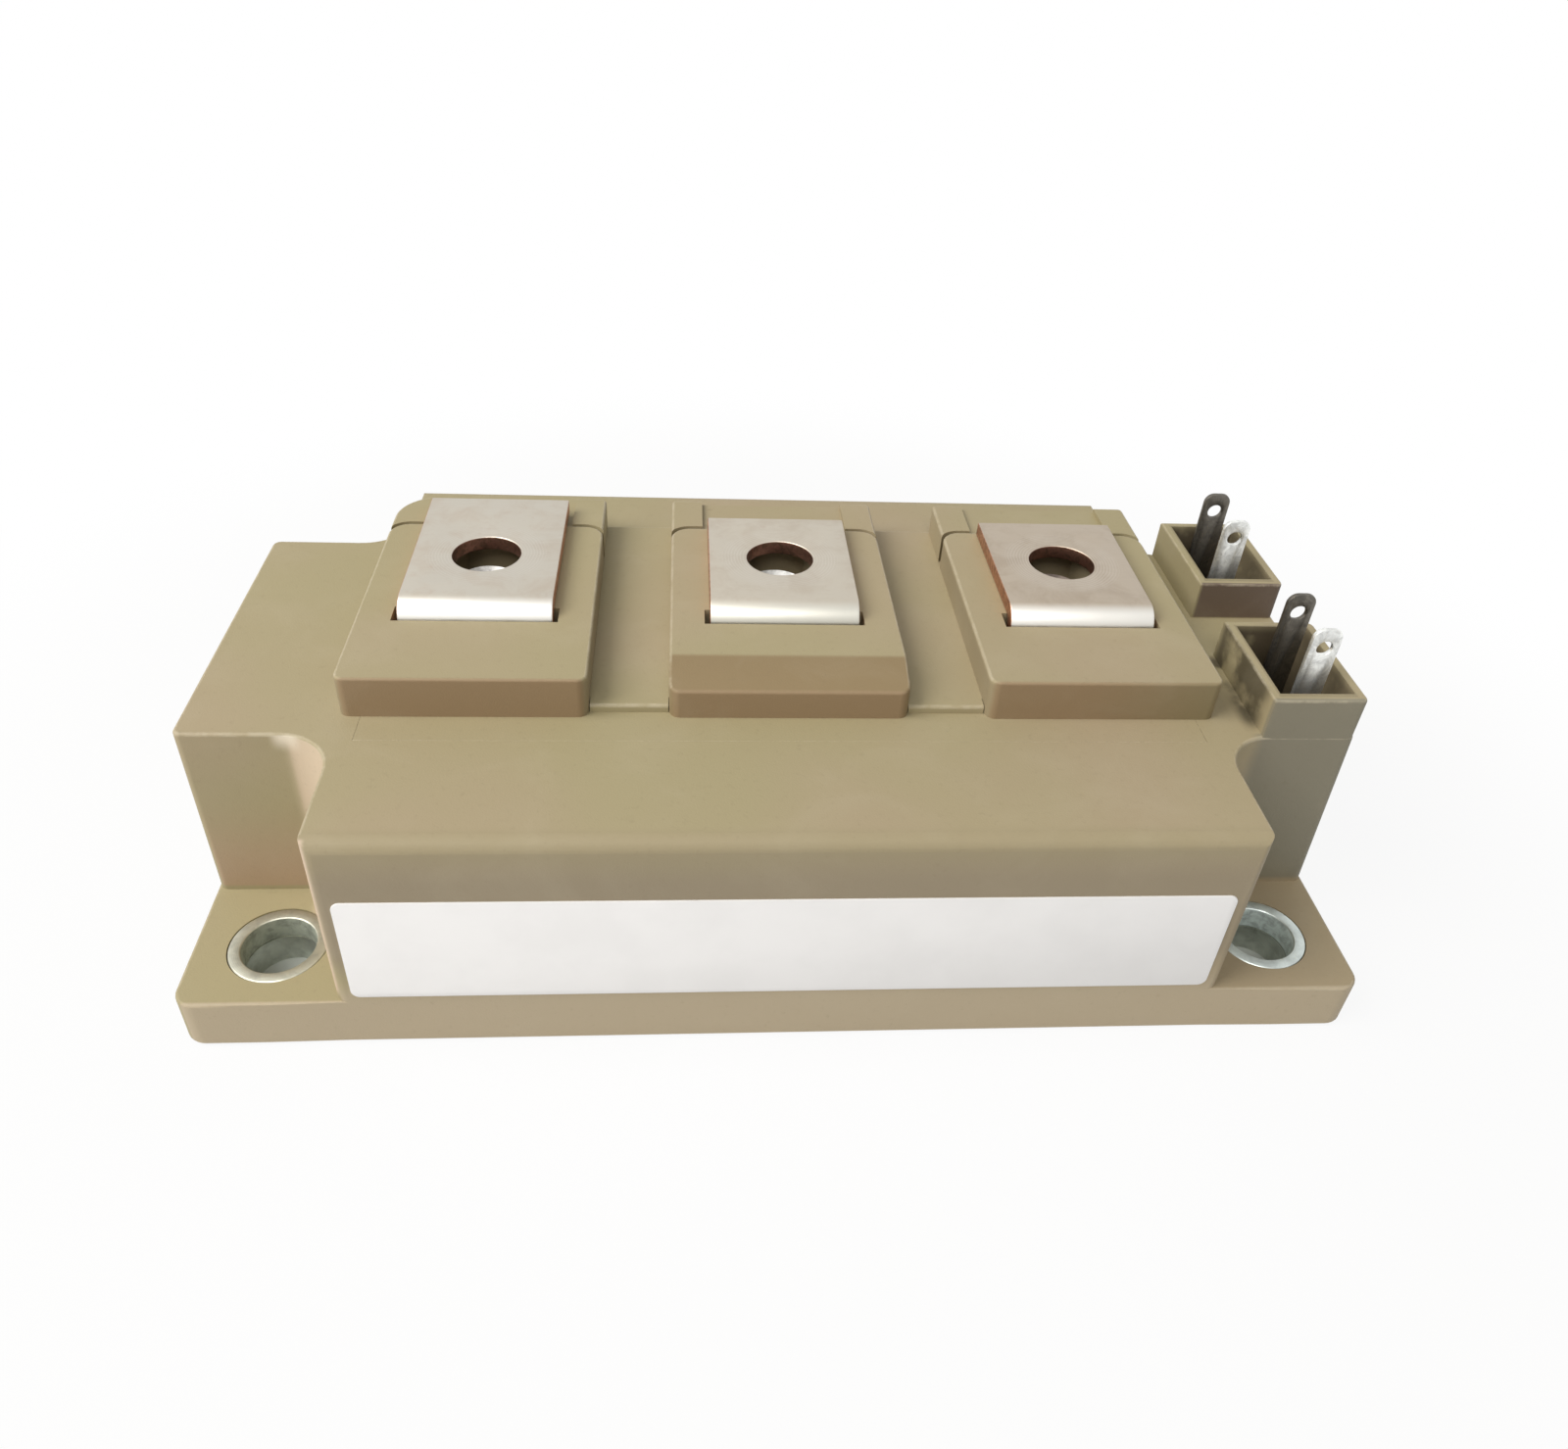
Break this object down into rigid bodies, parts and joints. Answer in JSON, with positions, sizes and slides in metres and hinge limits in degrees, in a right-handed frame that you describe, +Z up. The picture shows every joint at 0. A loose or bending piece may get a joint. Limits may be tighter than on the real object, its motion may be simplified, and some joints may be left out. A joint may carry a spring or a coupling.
{
  "type": "igbt power module",
  "caption": "Moulded IGBT power module with a copper base plate, bent busbar terminals over captive nuts, and socketed push-on control tabs.",
  "frame": {"origin": "centre of the base plate's underside, which is also the bottom centre of the whole part", "axes": "+X along the length towards the control sockets, +Y from the label side to the back, +Z up away from the heatsink"},
  "size_m": [0.108, 0.062, 0.034],
  "materials": {
    "case_moulding": "fine moulded, slightly satin, warm khaki",
    "lid_moulding": "fine moulded, slightly satin, warm khaki",
    "holder_moulding": "fine moulded, slightly satin, warm khaki",
    "base_copper": null,
    "terminal_plating": "thin nickel plating on copper, satin, bare copper at the cut edges",
    "tab_plating": "tin-plated brass, dull",
    "lead_copper": "bare copper wire",
    "collar_steel": "zinc-plated steel, dull",
    "nut_steel": "zinc-plated steel",
    "track_copper": "bonded copper foil, bare",
    "tile_ceramic": "unglazed alumina",
    "chip_silicon": null,
    "bond_aluminium": "bright drawn wire",
    "silicone_gel": "clear soft silicone",
    "label_paper": "smooth white film, satin"
  },
  "bodies": {
    "root": {"base_plate": "base_copper", "case": "case_moulding", "lid": "lid_moulding", "nut_holder_1": "holder_moulding", "nut_holder_2": "holder_moulding", "nut_holder_3": "holder_moulding", "hex_nut_1": "nut_steel", "hex_nut_2": "nut_steel", "hex_nut_3": "nut_steel", "main_terminal_1": "terminal_plating", "main_terminal_2": "terminal_plating", "main_terminal_3": "terminal_plating", "control_tab_1": "tab_plating", "control_tab_2": "tab_plating", "control_tab_3": "tab_plating", "control_tab_4": "tab_plating", "control_lead_1": "lead_copper", "control_lead_2": "lead_copper", "control_lead_3": "lead_copper", "control_lead_4": "lead_copper", "collar_1": "collar_steel", "collar_2": "collar_steel", "collar_3": "collar_steel", "collar_4": "collar_steel", "backing_left": "track_copper", "backing_right": "track_copper", "tile_left": "tile_ceramic", "tile_right": "tile_ceramic", "tracks_left": "track_copper", "tracks_right": "track_copper", "igbt_chips_left": "chip_silicon", "igbt_chips_right": "chip_silicon", "diode_chips_left": "chip_silicon", "diode_chips_right": "chip_silicon", "bond_wires_left": "bond_aluminium", "bond_wires_right": "bond_aluminium", "gel": "silicone_gel", "label": "label_paper"}
  },
  "joints": []
}
